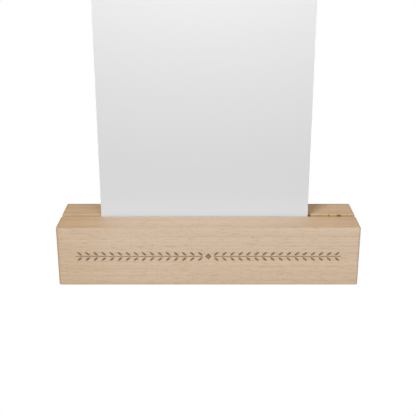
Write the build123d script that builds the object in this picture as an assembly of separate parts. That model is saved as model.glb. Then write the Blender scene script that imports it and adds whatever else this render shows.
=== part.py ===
"""Wooden photo block: a beech block with a slot along its top, and a stiff photo card standing in it.

Millimetres, +Z up. The origin is the centre of the block's base. X runs along the grain and the slot,
and -Y is the front, which carries an engraved leaf border.
"""

import os
from math import cos, radians, sin

from build123d import *

# Block
BLOCK_LENGTH = 150.0
BLOCK_DEPTH = 35.0
BLOCK_HEIGHT = 31.0
EDGE_RADIUS = 0.5

# Card: an A6 sheet on stiff board, standing a little left of the block's middle
CARD_WIDTH = 105.0
CARD_HEIGHT = 148.0
CARD_THICKNESS = 2.4
CARD_CORNER_RADIUS = 0.4
CARD_SHIFT = -2.0

# Slot: open at both ends of the block and a little in front of its middle, with a free gap on each
# face of the card
CARD_CLEARANCE = 0.3
SLOT_SHIFT = -0.6
SLOT_WIDTH = CARD_THICKNESS + 2 * CARD_CLEARANCE
SLOT_DEPTH = 12.0
SLOT_EDGE_RADIUS = 0.4
SLOT_FLOOR = BLOCK_HEIGHT - SLOT_DEPTH

# Engraving, half-way up the front face: a diamond in the middle, and a stem with leaves on each side
ENGRAVING_DEPTH = 0.3
ENGRAVING_END_MARGIN = 9.0
ENGRAVING_LEVEL = BLOCK_HEIGHT / 2
STEM_WIDTH = 0.45
DIAMOND_REACH = 1.7
STEM_START = 2.8
LEAF_LENGTH = 3.0
LEAF_WIDTH = 1.1
LEAF_ANGLE = 38.0
LEAF_GAP = 0.5
LEAF_PITCH = 4.0

# Distance below which two places count as the same
TOLERANCE = 1e-6


def leaf(base_x, side, up):
    """One pointed leaf as a face: its base is near the stem and its tip points away from the middle."""
    along = Vector(side * cos(radians(LEAF_ANGLE)), up * sin(radians(LEAF_ANGLE)))
    across = Vector(-along.Y, along.X) * (LEAF_WIDTH / 2)
    base = Vector(side * base_x, up * LEAF_GAP)
    tip = base + along * LEAF_LENGTH
    middle = (base + tip) / 2
    one_edge = ThreePointArc(base, middle + across, tip)
    other_edge = ThreePointArc(tip, middle - across, base)
    return make_face([one_edge, other_edge])


def engraving_outlines():
    """The border's faces, drawn around its own middle in the XY plane."""
    half_length = BLOCK_LENGTH / 2 - ENGRAVING_END_MARGIN
    stem_length = half_length - STEM_START
    leaf_reach = LEAF_LENGTH * cos(radians(LEAF_ANGLE))
    leaf_count = int((stem_length - leaf_reach) // LEAF_PITCH) + 1
    faces = [RegularPolygon(DIAMOND_REACH, side_count=4).face()]
    for side in (-1, 1):
        stem = Rectangle(stem_length, STEM_WIDTH).face()
        faces.append(Pos(side * (STEM_START + stem_length / 2), 0) * stem)
        for number in range(leaf_count):
            base_x = STEM_START + number * LEAF_PITCH
            faces += [leaf(base_x, side, up) for up in (-1, 1)]
    return faces


def engraving_cutters():
    """Solids that sink the border into the block's front face."""
    front = Plane(origin=(0, -BLOCK_DEPTH / 2, ENGRAVING_LEVEL), x_dir=(1, 0, 0), z_dir=(0, -1, 0))
    return [front * extrude(face, amount=-ENGRAVING_DEPTH) for face in engraving_outlines()]


def is_slot_mouth(edge):
    """Whether an edge of the block is where a slot wall meets the top or an end."""
    place = edge.center()
    on_wall = abs(abs(place.Y - SLOT_SHIFT) - SLOT_WIDTH / 2) < TOLERANCE
    return on_wall and place.Z > SLOT_FLOOR + TOLERANCE


def make_block():
    """The slotted block with its sanded edges and the engraved border."""
    base = Align.MIN
    centre = Align.CENTER
    block = Box(BLOCK_LENGTH, BLOCK_DEPTH, BLOCK_HEIGHT, align=(centre, centre, base))
    block = fillet(block.edges(), EDGE_RADIUS)
    slot = Box(BLOCK_LENGTH, SLOT_WIDTH, SLOT_DEPTH, align=(centre, centre, base))
    block -= Pos(0, SLOT_SHIFT, SLOT_FLOOR) * slot
    block = fillet([edge for edge in block.edges() if is_slot_mouth(edge)], SLOT_EDGE_RADIUS)
    return block - engraving_cutters()


def make_card():
    """The card, standing on the slot's floor midway between its walls."""
    card = Box(CARD_WIDTH, CARD_THICKNESS, CARD_HEIGHT, align=(Align.CENTER, Align.CENTER, Align.MIN))
    card = fillet(card.edges().filter_by(Axis.Y), CARD_CORNER_RADIUS)
    return Pos(CARD_SHIFT, SLOT_SHIFT, SLOT_FLOOR) * card


os.makedirs("parts", exist_ok=True)
export_step(make_block(), "parts/wood_block.step")
export_step(make_card(), "parts/photo_card.step")
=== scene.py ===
"""Looks of the wooden photo block: a slotted beech block with an engraved leaf border, and a white card.

Metres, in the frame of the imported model: +Z up, X along the grain and the slot, -Y towards the viewer.
"""

from math import atan, cos, pi, radians, sin, sqrt

import bmesh
import bpy
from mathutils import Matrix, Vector, noise


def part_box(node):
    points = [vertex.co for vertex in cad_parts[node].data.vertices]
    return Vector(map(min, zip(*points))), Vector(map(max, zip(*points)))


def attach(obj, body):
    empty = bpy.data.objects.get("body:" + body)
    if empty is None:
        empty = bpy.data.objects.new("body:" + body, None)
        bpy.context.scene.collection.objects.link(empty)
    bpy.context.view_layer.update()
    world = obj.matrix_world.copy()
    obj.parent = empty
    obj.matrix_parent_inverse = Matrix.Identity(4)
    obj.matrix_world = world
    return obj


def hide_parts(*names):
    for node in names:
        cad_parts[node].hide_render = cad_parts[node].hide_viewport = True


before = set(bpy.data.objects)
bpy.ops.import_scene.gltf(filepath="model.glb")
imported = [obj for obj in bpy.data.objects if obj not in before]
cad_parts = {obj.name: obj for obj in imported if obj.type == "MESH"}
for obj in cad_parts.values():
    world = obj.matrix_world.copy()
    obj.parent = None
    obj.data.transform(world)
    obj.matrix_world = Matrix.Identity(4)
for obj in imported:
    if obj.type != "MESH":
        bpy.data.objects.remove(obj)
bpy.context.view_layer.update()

# A millimetre in metres, and a quarter turn in degrees
MM = 0.001
QUARTER = 90

# Places of the two pieces, from the frame
BLOCK_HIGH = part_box("wood_block")[1]
CARD_LOW, CARD_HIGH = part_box("photo_card")
HALF_LENGTH = BLOCK_HIGH.x
HALF_DEPTH = BLOCK_HIGH.y
TOP = BLOCK_HIGH.z

# Block edges, sanded by hand: the radius of each long edge ripples along X, with a seed of its own
EDGE_RADIUS = 0.5 * MM
EDGE_VARIATION = 0.15
EDGE_WAVELENGTH = 30 * MM
EDGE_SEEDS = (11.0, 12.0, 13.0, 14.0)
END_RADIUS = 0.8 * MM
LEAST_RADIUS = 0.05 * MM
RIPPLE_LEVEL = 0.5

# Fineness of the block's mesh: stops are shares of a straight side, closer together near rounded edges
STATION_STEP = 0.4 * MM
ARC_STEPS = 6
END_STEPS = 6
FACE_STOPS = (0.01, 0.04, 0.1, 0.25, 0.5, 0.75, 0.9, 0.96, 0.99)
WALL_STOPS = (0.03, 0.08, 0.15, 0.3, 0.6)

# Edges that turn by more than this stay sharp
CREASE_ANGLE = radians(32)

# Slot, with eased edges at its mouth
SLOT_MIDDLE = (CARD_LOW.y + CARD_HIGH.y) / 2
SLOT_HALF_WIDTH = 1.5 * MM
SLOT_FLOOR = CARD_LOW.z
MOUTH_RADIUS = 0.4 * MM
MOUTH_VARIATION = 0.3
MOUTH_WAVELENGTH = 4 * MM
MOUTH_SEED = 3.0
MOUTH_END_SHARE = 0.4

# Torn places along the slot's rear edge: middle, half width and depth. The first, at the card's right
# edge, is dark as the card's painted shadow in the slot
TEAR_OUTS = (
    (51.6 * MM, 0.8 * MM, 0.5 * MM),
    (61.8 * MM, 1.0 * MM, 0.4 * MM),
    (66.9 * MM, 1.6 * MM, 0.5 * MM),
    (71.1 * MM, 0.9 * MM, 0.35 * MM),
)
TEAR_SHARE = 0.8
TEAR_VARIATION = 0.3
TEAR_WAVELENGTH = 0.8 * MM
TEAR_SEED = 7.0

# Darker lines along the edges, worn ones and painted contact shade along the foot: distances at which each
# is still full, and at which it has faded out
CREASE_SIDE = (0.5 * MM, 1.8 * MM)
CREASE_DEPTH = (0.15 * MM, 0.5 * MM)
FOOT_HEIGHT = (0.3 * MM, 0.9 * MM)
FOOT_SIDE = (0.5 * MM, 1.5 * MM)
END_LINE = (0.3 * MM, 1.3 * MM)
MOUTH_LINE = (0.3 * MM, 0.7 * MM)
MOUTH_STRENGTH = 0.5

# Painted shade in the slot: deeper colour, which sets in over these depths below the top
SLOT_SHADE = (0.4 * MM, 1.0 * MM)
WALL_SLACK = 0.02 * MM

# Dark colour at the slot's rear edge: in the tear-outs, the one at the card's right edge being the card's
# painted shadow, and in a darker strip from there to the right end
SCORCH_AND_SHADOW_NEAR = -0.1 * MM
SCORCH_AND_SHADOW_FAR = 1.2 * MM
SCORCH_AND_SHADOW_FADE = (1.5 * MM, 4.0 * MM)
TEAR_FULL = 0.41 * MM
TEAR_DEPTH = (0.03 * MM, 0.2 * MM)
RIGHT_STRIP_STRENGTH = 0.34
RIGHT_STRIP_START = (48 * MM, 52 * MM)
RIGHT_STRIP_DEPTH = (0.1 * MM, 0.5 * MM)
TORN_AND_SHADOWED_LEAST = 0.25

# Engraving on the front face
ENGRAVING_DEPTH = 0.3 * MM
ENGRAVING_END_MARGIN = 9.0 * MM
ENGRAVING_LEVEL = TOP / 2
ENGRAVING_SLACK = 0.01 * MM
CUTTER_REACH = 1 * MM
STEM_HALF_WIDTH = 0.225 * MM
DIAMOND_REACH = 1.7 * MM
STEM_START = 2.8 * MM
LEAF_LENGTH = 3.0 * MM
LEAF_WIDTH = 1.1 * MM
LEAF_ANGLE = radians(38)
LEAF_GAP = 0.5 * MM
LEAF_PITCH = 4.0 * MM
LEAF_STEPS = 8

# Card
CARD_CORNER_RADIUS = 0.4 * MM
CARD_EDGE_RADIUS = 0.15 * MM
CARD_ARC_STEPS = 4

# Places of the materials in each piece's list; the card's faces keep the first
WOOD = 0
BURNT = 1
TORN_AND_SHADOWED = 2
CORE = 1


# Mesh helpers

def add_object(name, data):
    """A new object in the scene."""
    thing = bpy.data.objects.new(name, data)
    bpy.context.scene.collection.objects.link(thing)
    return thing


def new_piece(name, mesh, body, node):
    """Puts a mesh into the scene as a piece that rides on a body and stands for a node of the frame."""
    piece = add_object(name, mesh)
    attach(piece, body)
    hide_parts(node)
    return piece


def finished_mesh(shape, name):
    """The mesh of a finished bmesh, with its faces turned outwards."""
    bmesh.ops.recalc_face_normals(shape, faces=shape.faces)
    mesh = bpy.data.meshes.new(name)
    shape.to_mesh(mesh)
    shape.free()
    return mesh


def smooth_shading(mesh):
    """Smooth normals over rounded edges, with creases kept sharp."""
    mesh.shade_smooth()
    mesh.set_sharp_from_angle(angle=CREASE_ANGLE)


def quarter_turn(start, steps):
    """Angles of a quarter turn in even steps, anticlockwise from start degrees."""
    return [radians(start + QUARTER * step / steps) for step in range(steps + 1)]


# Block

def ripple(x, seed, wavelength):
    """Slow random variation between about -1 and 1 along the block."""
    return noise.noise(Vector((x / wavelength, seed, RIPPLE_LEVEL)))


def edge_radius(x, seed):
    """The hand-sanded radius of one long edge, a little uneven along its length."""
    return EDGE_RADIUS * (1 + EDGE_VARIATION * ripple(x, seed, EDGE_WAVELENGTH))


def tear_out(x):
    """How deep the tear-out in the slot's rear edge reaches at x."""
    depth = 0.0
    for middle, half_width, deepest in TEAR_OUTS:
        reach = 1 - ((x - middle) / half_width) ** 2
        ragged = TEAR_SHARE + TEAR_VARIATION * ripple(x, TEAR_SEED, TEAR_WAVELENGTH)
        depth += deepest * sqrt(max(reach, 0)) * ragged
    return depth


def mouth_radius(x, rear):
    """The eased radius at x of the slot's rear edge, or of its front edge where rear is 0."""
    uneven = MOUTH_RADIUS * (1 + MOUTH_VARIATION * ripple(x, MOUTH_SEED + rear, MOUTH_WAVELENGTH))
    return uneven + tear_out(x) * rear


def arc(middle_y, middle_z, radius, start):
    """A quarter circle of section points (y, z), anticlockwise from start degrees."""
    points = []
    for angle in quarter_turn(start, ARC_STEPS):
        points.append((middle_y + radius * cos(angle), middle_z + radius * sin(angle)))
    return points


def run(start, end, stops):
    """Section points (y, z) on a straight line between two places, which arcs or corners already give."""
    points = []
    for stop in stops:
        points.append((start[0] + (end[0] - start[0]) * stop, start[1] + (end[1] - start[1]) * stop))
    return points


def section(x, inset):
    """The block's section at x, drawn in by inset to round an end, as (y, z) points, anticlockwise."""
    side = HALF_DEPTH - inset
    top = TOP - inset
    flare = inset * MOUTH_END_SHARE
    rear_wall = SLOT_MIDDLE + SLOT_HALF_WIDTH + flare
    front_wall = SLOT_MIDDLE - SLOT_HALF_WIDTH - flare
    floor = SLOT_FLOOR - flare
    low_front, low_rear, top_rear, top_front = (
        max(edge_radius(x, seed) - inset, LEAST_RADIUS) for seed in EDGE_SEEDS
    )
    rear = mouth_radius(x, 1)
    front = mouth_radius(x, 0)
    rising_stops = [1 - stop for stop in reversed(WALL_STOPS)]
    points = run((-side + low_front, inset), (side - low_rear, inset), FACE_STOPS)
    points += arc(side - low_rear, inset + low_rear, low_rear, -QUARTER)
    points += run((side, inset + low_rear), (side, top - top_rear), FACE_STOPS)
    points += arc(side - top_rear, top - top_rear, top_rear, 0)
    points += run((side - top_rear, top), (rear_wall + rear, top), FACE_STOPS)
    points += arc(rear_wall + rear, top - rear, rear, QUARTER)
    points += run((rear_wall, top - rear), (rear_wall, floor), WALL_STOPS)
    points += [(rear_wall, floor), (front_wall, floor)]
    points += run((front_wall, floor), (front_wall, top - front), rising_stops)
    points += arc(front_wall - front, top - front, front, 0)
    points += run((front_wall - front, top), (-side + top_front, top), FACE_STOPS)
    points += arc(-side + top_front, top - top_front, top_front, QUARTER)
    points += run((-side, top - top_front), (-side, inset + low_front), FACE_STOPS)
    points += arc(-side + low_front, inset + low_front, low_front, 2 * QUARTER)
    return points


def stations():
    """Places along X with how far the section is drawn in there to round the two ends."""
    straight = HALF_LENGTH - END_RADIUS
    count = round(2 * straight / STATION_STEP)
    places = [(-straight + 2 * straight * i / count, 0.0) for i in range(count + 1)]
    ends = []
    for angle in quarter_turn(0, END_STEPS)[1:]:
        ends.append((straight + END_RADIUS * sin(angle), END_RADIUS * (1 - cos(angle))))
    start = [(-x, inset) for x, inset in reversed(ends)]
    return start + places + ends


def block_shell():
    """The block before it is engraved, as a mesh of sections joined along X."""
    shell = bmesh.new()
    rings = []
    for x, inset in stations():
        rings.append([shell.verts.new((x, y, z)) for y, z in section(x, inset)])
    for left, right in zip(rings, rings[1:]):
        for i in range(len(left)):
            j = (i + 1) % len(left)
            shell.faces.new((left[i], right[i], right[j], left[j]))
    shell.faces.new(rings[0])
    shell.faces.new(reversed(rings[-1]))
    return finished_mesh(shell, "block_shell")


def leaf_outline(base_x, side, up):
    """One pointed leaf between two arcs, as (x, z) about the border's middle."""
    along = Vector((side * cos(LEAF_ANGLE), up * sin(LEAF_ANGLE)))
    across = Vector((-along.y, along.x))
    base = Vector((side * base_x, up * LEAF_GAP))
    half_angle = 2 * atan(LEAF_WIDTH / LEAF_LENGTH)
    radius = LEAF_LENGTH / 2 / sin(half_angle)
    middle = base + along * (LEAF_LENGTH / 2)
    outline = []
    for way in (1, -1):
        centre = middle - across * (way * radius * cos(half_angle))
        for step in range(LEAF_STEPS):
            angle = half_angle * (2 * step / LEAF_STEPS - 1)
            forward = along * (way * radius * sin(angle))
            outward = across * (way * radius * cos(angle))
            outline.append(centre + forward + outward)
    return outline


def border_outlines():
    """Every outline of the engraved border, as (x, z) about its middle."""
    end = HALF_LENGTH - ENGRAVING_END_MARGIN
    leaf_reach = LEAF_LENGTH * cos(LEAF_ANGLE)
    leaf_count = int((end - STEM_START - leaf_reach) // LEAF_PITCH) + 1
    reach = DIAMOND_REACH
    low = -STEM_HALF_WIDTH
    high = STEM_HALF_WIDTH
    outlines = [[Vector((reach, 0)), Vector((0, reach)), Vector((-reach, 0)), Vector((0, -reach))]]
    for side in (-1, 1):
        near = side * STEM_START
        far = side * end
        stem = [(near, low), (far, low), (far, high), (near, high)]
        outlines.append([Vector(corner) for corner in stem])
        for number in range(leaf_count):
            for up in (-1, 1):
                outlines.append(leaf_outline(STEM_START + number * LEAF_PITCH, side, up))
    return outlines


def border_cutter():
    """Prisms that reach from in front of the face to the engraving's floor."""
    outside = -HALF_DEPTH - CUTTER_REACH
    floor = -HALF_DEPTH + ENGRAVING_DEPTH
    prisms = bmesh.new()
    for outline in border_outlines():
        front = [prisms.verts.new((p.x, outside, p.y + ENGRAVING_LEVEL)) for p in outline]
        back = [prisms.verts.new((p.x, floor, p.y + ENGRAVING_LEVEL)) for p in outline]
        prisms.faces.new(front)
        prisms.faces.new(reversed(back))
        for i in range(len(front)):
            j = (i + 1) % len(front)
            prisms.faces.new((front[j], front[i], back[i], back[j]))
    return finished_mesh(prisms, "border_cutter")


def engraved(shell, cutter):
    """The shell's mesh with the cutter's prisms taken out of it."""
    block = add_object("uncut_block", shell)
    tool = add_object("border_tool", cutter)
    cut = block.modifiers.new("engrave", "BOOLEAN")
    cut.operation = "DIFFERENCE"
    cut.solver = "EXACT"
    cut.object = tool
    bpy.context.view_layer.update()
    graph = bpy.context.evaluated_depsgraph_get()
    mesh = bpy.data.meshes.new_from_object(block.evaluated_get(graph))
    bpy.data.objects.remove(block)
    bpy.data.objects.remove(tool)
    return mesh


def in_engraving(face):
    """Whether a face of the block is a wall or the floor of the engraving."""
    depth = face.center.y + HALF_DEPTH
    inside_ends = abs(face.center.x) < HALF_LENGTH - ENGRAVING_END_MARGIN + ENGRAVING_SLACK
    inside_band = abs(face.center.z - ENGRAVING_LEVEL) < LEAF_LENGTH + LEAF_GAP
    sunk = ENGRAVING_SLACK < depth < ENGRAVING_DEPTH + ENGRAVING_SLACK
    return sunk and inside_ends and inside_band


def rise(value, span):
    """0 up to the start of a span, 1 from its end on, and smooth between."""
    start, end = span
    share = min(max((value - start) / (end - start), 0), 1)
    return share * share * (3 - 2 * share)


def fade(value, span):
    """1 up to the start of a span, 0 from its end on, and smooth between."""
    return 1 - rise(value, span)


def arris_mark(x, y, z):
    """How far a place on the block belongs to the darker line along an edge, from 0 to 1: worn edges, and
    painted contact shade along the foot.
    """
    side_gap = HALF_DEPTH - abs(y)
    end_gap = HALF_LENGTH - abs(x)
    top_gap = TOP - z
    wall_gap = abs(y - SLOT_MIDDLE) - SLOT_HALF_WIDTH
    crease = fade(side_gap, CREASE_SIDE) * fade(top_gap, CREASE_DEPTH)
    # Painted contact shade along the foot, where the block meets the floor
    foot = fade(z, FOOT_HEIGHT) * fade(min(side_gap, end_gap), FOOT_SIDE)
    end = fade(end_gap, END_LINE) * fade(min(side_gap, top_gap, z), END_LINE)
    mouth = MOUTH_STRENGTH * fade(wall_gap, MOUTH_LINE) * fade(top_gap, MOUTH_LINE)
    return max(crease, foot, end, mouth)


def slot_mark(y, z):
    """How deep a place lies in the slot, from 0 at the mouth to 1, for the painted shade there."""
    between_walls = abs(y - SLOT_MIDDLE) < SLOT_HALF_WIDTH + WALL_SLACK
    in_slot = between_walls and z > SLOT_FLOOR - END_RADIUS
    return rise(TOP - z, SLOT_SHADE) if in_slot else 0.0


def scorch_and_shadow_mark(x, y, z):
    """How dark the slot's rear edge is in its tear-outs, the one at the card's right edge being the card's
    painted shadow, and in a strip from there to the right end, fading down the slot's wall.
    """
    behind_wall = y - SLOT_MIDDLE - SLOT_HALF_WIDTH
    if not SCORCH_AND_SHADOW_NEAR < behind_wall < SCORCH_AND_SHADOW_FAR:
        return 0.0
    depth = TOP - z
    torn_and_shadowed = (tear_out(x) / TEAR_FULL) ** 2 * rise(depth, TEAR_DEPTH)
    right_strip = RIGHT_STRIP_STRENGTH * rise(x, RIGHT_STRIP_START) * rise(depth, RIGHT_STRIP_DEPTH)
    return max(torn_and_shadowed, right_strip) * fade(depth, SCORCH_AND_SHADOW_FADE)


def add_marks(mesh):
    """Stores on each vertex how near it is to an edge, how deep in the slot for the painted shade there,
    and how much scorched colour and painted shadow it takes.
    """
    arris = mesh.attributes.new("arris", "FLOAT", "POINT")
    slot = mesh.attributes.new("slot", "FLOAT", "POINT")
    scorch_and_shadow = mesh.attributes.new("scorch_and_shadow", "FLOAT", "POINT")
    for vertex in mesh.vertices:
        x, y, z = vertex.co
        arris.data[vertex.index].value = arris_mark(x, y, z)
        slot.data[vertex.index].value = slot_mark(y, z)
        scorch_and_shadow.data[vertex.index].value = scorch_and_shadow_mark(x, y, z)


def face_material(face):
    """Which of the block's materials a face has."""
    if in_engraving(face):
        return BURNT
    return TORN_AND_SHADOWED if scorch_and_shadow_mark(*face.center) > TORN_AND_SHADOWED_LEAST else WOOD


def make_block(wood, burnt, torn_and_shadowed):
    """The block piece: engraved, shaded and marked for its materials."""
    mesh = engraved(block_shell(), border_cutter())
    mesh.name = "beech_block"
    mesh.materials.clear()
    for material in (wood, burnt, torn_and_shadowed):
        mesh.materials.append(material)
    for face in mesh.polygons:
        face.material_index = face_material(face)
    smooth_shading(mesh)
    add_marks(mesh)
    piece = new_piece("beech_block", mesh, "block", "wood_block")

    # The wood throws no warm light onto the white card: the stage's bounce light stands in for it
    piece.visible_diffuse = False


# Card

def card_outline(inset):
    """The card's outline with rounded corners, drawn in by inset, as (x, z)."""
    low_x = CARD_LOW.x + CARD_CORNER_RADIUS
    high_x = CARD_HIGH.x - CARD_CORNER_RADIUS
    low_z = CARD_LOW.z + CARD_CORNER_RADIUS
    high_z = CARD_HIGH.z - CARD_CORNER_RADIUS
    radius = CARD_CORNER_RADIUS - inset
    corners = ((high_x, low_z), (high_x, high_z), (low_x, high_z), (low_x, low_z))
    outline = []
    for number, (middle_x, middle_z) in enumerate(corners):
        for angle in quarter_turn((number - 1) * QUARTER, CARD_ARC_STEPS):
            outline.append((middle_x + radius * cos(angle), middle_z + radius * sin(angle)))
    return outline


def card_layers():
    """(y, inset) of each outline from the card's front face to its back."""
    layers = []
    for angle in reversed(quarter_turn(0, CARD_ARC_STEPS)):
        y = CARD_LOW.y + CARD_EDGE_RADIUS * (1 - sin(angle))
        layers.append((y, CARD_EDGE_RADIUS * (1 - cos(angle))))
    return layers + [(2 * SLOT_MIDDLE - y, inset) for y, inset in reversed(layers)]


def make_card(coating, core):
    """The card piece: coated faces, and edges that show the board's core."""
    board = bmesh.new()
    rings = []
    for y, inset in card_layers():
        rings.append([board.verts.new((x, y, z)) for x, z in card_outline(inset)])
    for near, far in zip(rings, rings[1:]):
        for i in range(len(near)):
            j = (i + 1) % len(near)
            side = board.faces.new((near[i], near[j], far[j], far[i]))
            side.material_index = CORE
    board.faces.new(reversed(rings[0]))
    board.faces.new(rings[-1])
    mesh = finished_mesh(board, "photo_board")
    for material in (coating, core):
        mesh.materials.append(material)
    smooth_shading(mesh)
    new_piece("photo_board", mesh, "card", "photo_card")


# Materials

class Nodes:
    """A node tree with short calls that add a node and return the socket it gives."""

    # Sockets of a Mix node that mixes colours
    MIX_SHARE = 0
    MIX_FIRST = 6
    MIX_SECOND = 7
    MIX_RESULT = 2

    # Middle of a noise's values
    NOISE_MIDDLE = 0.5

    def __init__(self, tree):
        self.tree = tree
        tree.nodes.clear()

    def add(self, kind, inputs=None, **settings):
        """A new node, with values or sockets for its inputs."""
        node = self.tree.nodes.new("ShaderNode" + kind)
        for name, value in settings.items():
            setattr(node, name, value)
        for name, value in (inputs or {}).items():
            self.feed(node.inputs[name], value)
        return node

    def feed(self, socket, value):
        """Links a socket to an input, or sets the input's value."""
        if isinstance(value, bpy.types.NodeSocket):
            self.tree.links.new(value, socket)
        else:
            socket.default_value = value

    def math(self, operation, first, second=0.0):
        """The result of one operation on two values."""
        return self.add("Math", {0: first, 1: second}, operation=operation).outputs[0]

    def total(self, *terms):
        """The sum of all the terms."""
        value = terms[0]
        for term in terms[1:]:
            value = self.math("ADD", value, term)
        return value

    def times(self, first, second):
        """The product of two values."""
        return self.math("MULTIPLY", first, second)

    def blend(self, shares, parts, base=0.0):
        """The sum of the parts named in shares, each times its share, and a base value."""
        terms = [self.times(parts[name], share) for name, share in shares.items()]
        return self.total(*terms, base)

    def scaled(self, vector, scale):
        """A vector with its X, Y and Z each scaled."""
        inputs = {0: vector, 1: scale}
        return self.add("VectorMath", inputs, operation="MULTIPLY").outputs[0]

    def split(self, vector):
        """The X, Y and Z of a vector."""
        return self.add("SeparateXYZ", {"Vector": vector}).outputs

    def combine(self, x, y, z):
        """A vector from its X, Y and Z."""
        return self.add("CombineXYZ", {"X": x, "Y": y, "Z": z}).outputs[0]

    def object_place(self):
        """The place on the object, in metres."""
        return self.add("TexCoord").outputs["Object"]

    def noise(self, vector, detail=2.0, roughness=0.5):
        """Smooth random values between 0 and 1."""
        inputs = {"Vector": vector, "Scale": 1.0, "Detail": detail, "Roughness": roughness}
        return self.add("TexNoise", inputs).outputs["Fac"]

    def centred_noise(self, vector, **settings):
        """Noise about zero."""
        return self.math("SUBTRACT", self.noise(vector, **settings), self.NOISE_MIDDLE)

    def ramp(self, value, span, result=(0.0, 1.0)):
        """The first result up to the start of a span, the second from its end on, and smooth between."""
        inputs = {
            "Value": value,
            "From Min": span[0],
            "From Max": span[1],
            "To Min": result[0],
            "To Max": result[1],
        }
        return self.add("MapRange", inputs, interpolation_type="SMOOTHSTEP").outputs[0]

    def mix(self, share, first, second):
        """A colour between two others."""
        inputs = {self.MIX_SHARE: share, self.MIX_FIRST: first, self.MIX_SECOND: second}
        return self.add("Mix", inputs, data_type="RGBA").outputs[self.MIX_RESULT]

    def mark(self, name):
        """A value that the mesh stores on its vertices."""
        return self.add("Attribute", attribute_name=name).outputs["Fac"]

    def bump(self, height, depth, strength):
        """A normal that follows a height."""
        inputs = {"Height": height, "Distance": depth, "Strength": strength}
        return self.add("Bump", inputs).outputs[0]

    def surface(self, **inputs):
        """The material's shader, with its inputs by name."""
        named = {name.replace("_", " "): value for name, value in inputs.items()}
        shader = self.add("BsdfPrincipled", named)
        self.add("OutputMaterial", {"Surface": shader.outputs[0]})


def new_material(name):
    """An empty material and its node tree."""
    material = bpy.data.materials.new(name)
    material.use_nodes = True
    return material, Nodes(material.node_tree)


def colour(red, green, blue):
    """A linear colour as a socket takes it."""
    return (red, green, blue, 1.0)


def grey(level):
    """A linear grey as a socket takes it."""
    return colour(level, level, level)


# Colours of the beech
PALE_BEECH = colour(0.638, 0.498, 0.363)
GRAIN_BEECH = colour(0.466, 0.329, 0.203)
# Rich colour: deeper tone of the wood, and painted shade in the slot and partly on the top and bottom
RICH_AND_SHADED_BEECH = colour(0.517, 0.33, 0.167)
# Colour of the edge lines: worn edges, and painted contact shade along the foot
WORN_AND_SHADED_EDGE = colour(0.33, 0.185, 0.07)
# Scorched colour, which also paints the card's shadow at the slot's rear edge
SCORCHED_AND_SHADOWED = colour(0.08, 0.032, 0.008)

# The trunk, in millimetres: its pith lies above and behind the block, along X, and its rings wander
MM_PER_METRE = (1000.0, 1000.0, 1000.0)
PITH_Y = 38.0
PITH_Z = 60.0
MIDDLE_RADIUS = 65.0
RING_SPACING = 2.6
RING_WANDER = 4.0
RING_WAVE = 0.5

# Where the colour is darker, in millimetres: far from the pith, towards the bottom of the front, and along
# X at the left end
OUTER_WOOD = (62.0, 84.0)
LEFT_END = (-40.0, -70.0)

# Scales of the figure along X, Y and Z, per millimetre
WANDER_SCALE = (0.007, 0.04, 0.04)
WAVE_SCALE = (0.06, 0.25, 0.25)
LINE_SCALE = (0.003, 0.33, 0.9)
TONE_SCALE = (0.012, 0.04, 0.04)

# Scales of the figure along the grain, around the pith and out from it, per millimetre
FLECK_SCALE = (0.4, 3.4, 0.15)
DASH_SCALE = (0.2, 1.6, 1.1)
FIBRE_SCALE = (0.12, 3.0, 3.0)
RAY_SCALE = (0.05, 2.4, 0.1)

# Spans over which each part of the figure sets in or ends
LATE_RISE = (0.45, 0.93)
LATE_END = (1.0, 0.94)
FLECK_EDGE = (0.42, 0.2)
FLECK_CHANCE = (0.1, 1.0)
DASH_SPAN = (0.48, 0.78)
RAY_SPAN = (0.5, 0.75)
END_FACING = (0.55, 0.9)
FLAT_FACING = (0.4, 0.9)

# How much clearer the straight lines are on the flat top
FLAT_LINES = 0.4

# How much each part adds to the grain's colour, to the rich colour with its painted shade, and to the
# lines along the edges
END_FIGURE = {"late": 0.3, "ray": 0.35}
GRAIN = {
    "late": 0.18,
    "fleck": 0.4,
    "dash": 0.72,
    "lines": 0.92,
    "fibre": 0.4,
    "end_figure": 1.0,
    "left": 0.12,
}
GRAIN_BASE = 0.2
# In the rich colour, slot is painted shade in the slot, and flat paints the top and bottom deeper, partly
# a different cut and partly painted shade
RICHNESS_AND_SHADE = {"tone": 0.24, "outer": 0.15, "left": 0.09, "flat": 0.16, "end": 0.45, "slot": 1.0}
RICHNESS_AND_SHADE_BASE = 0.03
WEAR_AND_SHADE = {"left": 0.3}
WEAR_AND_SHADE_BASE = 0.36
# Share of the scorched colour, which also paints the card's shadow at the slot
SCORCH_AND_SHADOW_SHARE = 0.95

# How much each part adds to the roughness and to the height of the surface
ROUGHNESS = {"fibre": 0.14, "end": 0.15, "slot": 0.2, "arris": 0.1}
ROUGHNESS_BASE = 0.59
RELIEF = {"fibre": 0.6, "fleck": -0.4}
RELIEF_DEPTH = 0.015 * MM


def trunk_place(nodes, spot):
    """Distance from the pith, that distance with the rings' wander, and a place along, around and out."""
    x, y, z = nodes.split(spot)
    wander = nodes.noise(nodes.scaled(spot, WANDER_SCALE))
    wave = nodes.noise(nodes.scaled(spot, WAVE_SCALE))
    out_y = nodes.math("SUBTRACT", y, PITH_Y)
    out_z = nodes.math("SUBTRACT", z, PITH_Z)
    square = nodes.total(nodes.times(out_y, out_y), nodes.times(out_z, out_z))
    distance = nodes.math("SQRT", square)
    radius = nodes.total(distance, nodes.times(wander, RING_WANDER), nodes.times(wave, RING_WAVE))
    around = nodes.times(nodes.math("ARCTAN2", out_z, out_y), MIDDLE_RADIUS)
    return distance, radius, nodes.combine(x, around, radius)


def late_wood(nodes, radius):
    """The thin darker line in which each growth ring ends."""
    ring = nodes.math("FRACT", nodes.math("DIVIDE", radius, RING_SPACING))
    return nodes.times(nodes.ramp(ring, LATE_RISE), nodes.ramp(ring, LATE_END))


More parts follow.
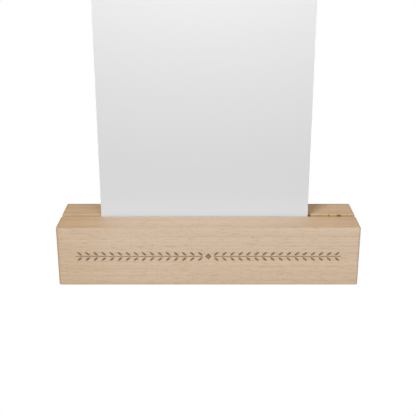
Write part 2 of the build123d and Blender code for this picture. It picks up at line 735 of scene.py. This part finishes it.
def ray_flecks(nodes, trunk):
    """Thin ribbons that run out from the pith, seen as fine spindles along the grain."""
    ribbon = nodes.scaled(trunk, FLECK_SCALE)
    cells = nodes.add("TexVoronoi", {"Vector": ribbon, "Scale": 1.0, "Randomness": 1.0})
    chance = nodes.add("SeparateColor", {"Color": cells.outputs["Color"]}).outputs["Red"]
    spindle = nodes.ramp(cells.outputs["Distance"], FLECK_EDGE)
    return nodes.times(spindle, nodes.ramp(chance, FLECK_CHANCE))


def crowded_flecks(nodes, trunk):
    """Dashes: places where the flecks crowd together."""
    crowd = nodes.noise(nodes.scaled(trunk, DASH_SCALE), detail=3.0, roughness=0.6)
    return nodes.ramp(crowd, DASH_SPAN)


def fibre_lines(nodes, spot, flat):
    """Straight lines along the grain, clearer on the top."""
    lines = nodes.centred_noise(nodes.scaled(spot, LINE_SCALE), detail=3.0)
    clearness = nodes.total(nodes.times(flat, FLAT_LINES), 1.0)
    return nodes.times(lines, clearness)


def wood_parts(nodes):
    """The parts of the beech's figure, and the places on the block that differ, by name."""
    place = nodes.add("TexCoord")
    spot = nodes.scaled(place.outputs["Object"], MM_PER_METRE)
    facing_x, _, facing_z = nodes.split(place.outputs["Normal"])
    end = nodes.ramp(nodes.math("ABSOLUTE", facing_x), END_FACING)
    flat = nodes.ramp(nodes.math("ABSOLUTE", facing_z), FLAT_FACING)
    distance, radius, trunk = trunk_place(nodes, spot)
    parts = {
        "late": late_wood(nodes, radius),
        "fleck": ray_flecks(nodes, trunk),
        "dash": crowded_flecks(nodes, trunk),
        "lines": fibre_lines(nodes, spot, flat),
        "fibre": nodes.centred_noise(nodes.scaled(trunk, FIBRE_SCALE), detail=4.0, roughness=0.6),
        "tone": nodes.centred_noise(nodes.scaled(spot, TONE_SCALE)),
        "ray": nodes.ramp(nodes.noise(nodes.scaled(trunk, RAY_SCALE)), RAY_SPAN),
        "outer": nodes.ramp(distance, OUTER_WOOD),
        "left": nodes.ramp(nodes.split(spot)["X"], LEFT_END),
        "end": end,
        "flat": flat,
    }
    for name in ("arris", "slot", "scorch_and_shadow"):
        parts[name] = nodes.mark(name)

    # End grain: clearer rings, crossed by fine rays that run out from the pith
    parts["end_figure"] = nodes.times(end, nodes.blend(END_FIGURE, parts))
    return parts


def make_beech():
    """Fine-sanded beech: faint growth rings, short ray flecks, fibres and darker end grain, with painted
    shade in the slot, along the foot and partly on the top and bottom, and the card's painted shadow at
    the slot.
    """
    material, nodes = new_material("beech")
    parts = wood_parts(nodes)
    wear_and_shade = nodes.times(parts["arris"], nodes.blend(WEAR_AND_SHADE, parts, WEAR_AND_SHADE_BASE))
    # Scorched colour, with the card's painted shadow at the slot's rear edge
    burn_and_shadow = nodes.times(parts["scorch_and_shadow"], SCORCH_AND_SHADOW_SHARE)
    figured = nodes.mix(nodes.blend(GRAIN, parts, GRAIN_BASE), PALE_BEECH, GRAIN_BEECH)
    toned_and_shaded = nodes.mix(nodes.blend(RICHNESS_AND_SHADE, parts, RICHNESS_AND_SHADE_BASE), figured, RICH_AND_SHADED_BEECH)
    edged = nodes.mix(wear_and_shade, toned_and_shaded, WORN_AND_SHADED_EDGE)
    nodes.surface(
        Base_Color=nodes.mix(burn_and_shadow, edged, SCORCHED_AND_SHADOWED),
        Roughness=nodes.blend(ROUGHNESS, parts, ROUGHNESS_BASE),
        Specular_IOR_Level=0.9,
        Normal=nodes.bump(nodes.blend(RELIEF, parts), depth=RELIEF_DEPTH, strength=0.5),
    )
    return material


# Span of a noise's values over which a mottle goes from its first colour to its second
MOTTLE = (0.3, 0.7)

# Burnt engraving: colours, and the scale of its patches, per metre
BURNT_DARK = colour(0.23, 0.132, 0.068)
BURNT_PALE = colour(0.34, 0.21, 0.125)
BURNT_SCALE = (900.0, 900.0, 2500.0)
BURNT_RELIEF = 0.05 * MM


def make_burnt():
    """Laser-burnt wood on the walls and floor of the engraving."""
    material, nodes = new_material("burnt_engraving")
    patches = nodes.noise(nodes.scaled(nodes.object_place(), BURNT_SCALE), detail=3.0)
    nodes.surface(
        Base_Color=nodes.mix(nodes.ramp(patches, MOTTLE), BURNT_DARK, BURNT_PALE),
        Roughness=0.75,
        Normal=nodes.bump(patches, depth=BURNT_RELIEF, strength=0.5),
    )
    return material


# Tear-outs at the slot's edge, with the card's painted shadow: colours, the scale of its splinters, per
# metre, and how its darkness follows the mark of scorched colour and painted shadow
TORN_AND_SHADOWED_PALE = colour(0.47, 0.295, 0.143)
TORN_AND_SHADOWED_DARK = colour(0.1, 0.046, 0.013)
SPLINTER_SCALE = (2500.0, 4000.0, 4000.0)
SPLINTER_SHARE = (0.7, 1.0)
TORN_BURN_AND_SHADOW = (0.3, 0.8)
TORN_RELIEF = 0.05 * MM


def make_torn_and_shadowed():
    """Dark broken wood in the tear-outs of the slot's edge, with the card's painted shadow in the one
    beside it, and a darker strip right of the card.
    """
    material, nodes = new_material("torn_and_shadowed_edge")
    splinters = nodes.noise(nodes.scaled(nodes.object_place(), SPLINTER_SCALE))
    burn_and_shadow = nodes.ramp(nodes.mark("scorch_and_shadow"), TORN_BURN_AND_SHADOW)
    share = nodes.times(burn_and_shadow, nodes.ramp(splinters, MOTTLE, SPLINTER_SHARE))
    nodes.surface(
        Base_Color=nodes.mix(share, TORN_AND_SHADOWED_PALE, TORN_AND_SHADOWED_DARK),
        Roughness=0.9,
        Specular_IOR_Level=0.1,
        Normal=nodes.bump(splinters, depth=TORN_RELIEF, strength=0.5),
    )
    return material


# Card coating: colours, the scales of its mottle and its tooth, per metre, and its range of roughness
COATING_DARK = colour(0.645, 0.645, 0.648)
COATING_PALE = colour(0.656, 0.656, 0.659)
COATING_SCALE = (300.0, 300.0, 300.0)
TOOTH_SCALE = (6000.0, 6000.0, 6000.0)
TOOTH_RELIEF = 0.01 * MM
COATING_SPAN = (0.2, 0.8)
COATING_ROUGHNESS = (0.5, 0.58)


def make_coating():
    """Matt white coated paper with a barely visible mottle."""
    material, nodes = new_material("card_coating")
    place = nodes.object_place()
    mottle = nodes.noise(nodes.scaled(place, COATING_SCALE), detail=3.0)
    tooth = nodes.noise(nodes.scaled(place, TOOTH_SCALE))
    nodes.surface(
        Base_Color=nodes.mix(mottle, COATING_DARK, COATING_PALE),
        Roughness=nodes.ramp(mottle, COATING_SPAN, COATING_ROUGHNESS),
        Specular_IOR_Level=0.25,
        Normal=nodes.bump(tooth, depth=TOOTH_RELIEF, strength=0.2),
    )
    return material


# Card core: colours, and the scale of its layers, per metre
CORE_DARK = colour(0.66, 0.64, 0.6)
CORE_PALE = colour(0.86, 0.85, 0.82)
LAYER_SCALE = (120.0, 6000.0, 120.0)
LAYER_RELIEF = 0.03 * MM


def make_core():
    """The cut edge of the board: pressed paper layers."""
    material, nodes = new_material("card_core")
    layers = nodes.noise(nodes.scaled(nodes.object_place(), LAYER_SCALE), detail=3.0)
    nodes.surface(
        Base_Color=nodes.mix(nodes.ramp(layers, MOTTLE), CORE_DARK, CORE_PALE),
        Roughness=0.7,
        Normal=nodes.bump(layers, depth=LAYER_RELIEF, strength=0.4),
    )
    return material


# Stage

# Camera, in front of the block and above it
CAMERA_PITCH = radians(19.8)
CAMERA_DISTANCE = 406.4 * MM
CAMERA_AIM = Vector((-0.18 * MM, 0, 34.81 * MM))
CAMERA_LENS = 69.0
CAMERA_SENSOR = 36.0
CAMERA_NEAR = 0.01
CAMERA_FAR = 50.0

# Floor
FLOOR_HALF = 6.0
FLOOR_DROP = 0.02 * MM

# Lights
NEUTRAL = (1.0, 1.0, 1.0)
WARM = (1.0, 0.68, 0.27)
LIGHT_TARGET = Vector((0, 0, 60 * MM))
BOUNCE_POWER = 0.0022
BOUNCE_GAP = 0.2 * MM

# Surroundings: their greys, and the spans of a direction's X, Y or Z over which they change
SKY = grey(0.12)
SKY_BEHIND = grey(0.024)
SKY_BESIDE = grey(0.32)
SKY_BELOW = grey(0.15)
WHITE = grey(1.0)
BEHIND = (0.1, 0.7)
BESIDE = (0.6, 0.9)
LOW = (0.6, 0.4)
HORIZON = (-0.01, 0.01)


def make_camera():
    """The camera in front of the block, looking along +Y and down."""
    data = bpy.data.cameras.new("camera")
    data.lens = CAMERA_LENS
    data.sensor_width = CAMERA_SENSOR
    data.clip_start = CAMERA_NEAR
    data.clip_end = CAMERA_FAR
    camera = add_object("camera", data)
    back = Vector((0, -cos(CAMERA_PITCH), sin(CAMERA_PITCH)))
    camera.location = CAMERA_AIM + CAMERA_DISTANCE * back
    camera.rotation_euler = (pi / 2 - CAMERA_PITCH, 0, 0)
    bpy.context.scene.camera = camera


def make_floor():
    """A wide plain white floor just under the block, which glows evenly and so shows no shadow."""
    corners = []
    for x, y in ((-1, -1), (1, -1), (1, 1), (-1, 1)):
        corners.append((x * FLOOR_HALF, y * FLOOR_HALF, -FLOOR_DROP))
    mesh = bpy.data.meshes.new("floor")
    mesh.from_pydata(corners, [], [(0, 1, 2, 3)])
    material, nodes = new_material("floor")
    glow = nodes.add("Emission", {"Color": WHITE, "Strength": 1.0})
    nodes.add("OutputMaterial", {"Surface": glow.outputs[0]})
    mesh.materials.append(material)
    floor = add_object("floor", mesh)
    floor.visible_diffuse = False
    floor.visible_shadow = False


def area_light(name, shape, power, reflected):
    """An area light that the camera doesn't see. It shows in reflections where reflected is set."""
    data = bpy.data.lights.new(name, "AREA")
    data.shape = shape
    data.energy = power
    light = add_object(name, data)
    light.visible_camera = False
    light.visible_glossy = reflected
    return light


def soft_box(name, azimuth, elevation, distance, size, power, tint=NEUTRAL, reflected=True):
    """A square light that looks at the object. Azimuth runs from the front round to +X, in degrees."""
    light = area_light(name, "SQUARE", power, reflected)
    light.data.size = size
    light.data.color = tint
    round_to = radians(azimuth)
    up = radians(elevation)
    back = Vector((sin(round_to) * cos(up), -cos(round_to) * cos(up), sin(up)))
    light.location = LIGHT_TARGET + back * distance
    light.rotation_euler = back.to_track_quat("Z", "Y").to_euler()


def make_bounce():
    """Light that goes up from the wood in front of the card, without the wood's colour."""
    front = -HALF_DEPTH + EDGE_RADIUS
    rear = SLOT_MIDDLE - SLOT_HALF_WIDTH - MOUTH_RADIUS
    light = area_light("bounce", "RECTANGLE", BOUNCE_POWER, reflected=False)
    light.data.size = 2 * HALF_LENGTH
    light.data.size_y = rear - front
    light.location = (0, (front + rear) / 2, TOP + BOUNCE_GAP)
    light.rotation_euler = (pi, 0, 0)


def make_world():
    """Dim surroundings: brighter low down at both sides, dark behind the object, with a white backdrop."""
    world = bpy.data.worlds.new("studio")
    world.use_nodes = True
    nodes = Nodes(world.node_tree)
    x, y, z = nodes.split(nodes.add("TexCoord").outputs["Generated"])
    beside = nodes.ramp(nodes.math("ABSOLUTE", x), BESIDE)
    around = nodes.mix(beside, nodes.mix(nodes.ramp(y, BEHIND), SKY, SKY_BEHIND), SKY_BESIDE)
    above = nodes.mix(nodes.ramp(z, LOW), SKY, around)
    tint = nodes.mix(nodes.ramp(z, HORIZON), SKY_BELOW, above)
    seen = nodes.mix(nodes.add("LightPath").outputs["Is Camera Ray"], tint, WHITE)
    background = nodes.add("Background", {"Color": seen, "Strength": 1.0})
    nodes.add("OutputWorld", {"Surface": background.outputs[0]})
    bpy.context.scene.world = world


def make_lights():
    """Soft light from the front and above, and low light on the back and the two ends."""
    make_bounce()
    soft_box("key", azimuth=-30, elevation=31, distance=2.0, size=0.73, power=27.6)
    soft_box("fill", azimuth=20, elevation=12, distance=1.1, size=0.4, power=3.15)
    soft_box("overhead", azimuth=0, elevation=62, distance=0.27, size=0.15, power=0.305, reflected=False)
    soft_box(
        "back", azimuth=180, elevation=60, distance=0.9, size=0.5, power=1.9, tint=WARM, reflected=False
    )
    soft_box("rear", azimuth=180, elevation=0, distance=2.5, size=0.5, power=26.0, reflected=False)
    soft_box("right", azimuth=90, elevation=0, distance=2.5, size=0.5, power=17.0, reflected=False)
    soft_box("left", azimuth=-90, elevation=0, distance=2.5, size=0.5, power=8.0, reflected=False)


make_block(make_beech(), make_burnt(), make_torn_and_shadowed())
make_card(make_coating(), make_core())
make_floor()
make_camera()
make_world()
make_lights()
bpy.context.scene.view_settings.view_transform = "Standard"
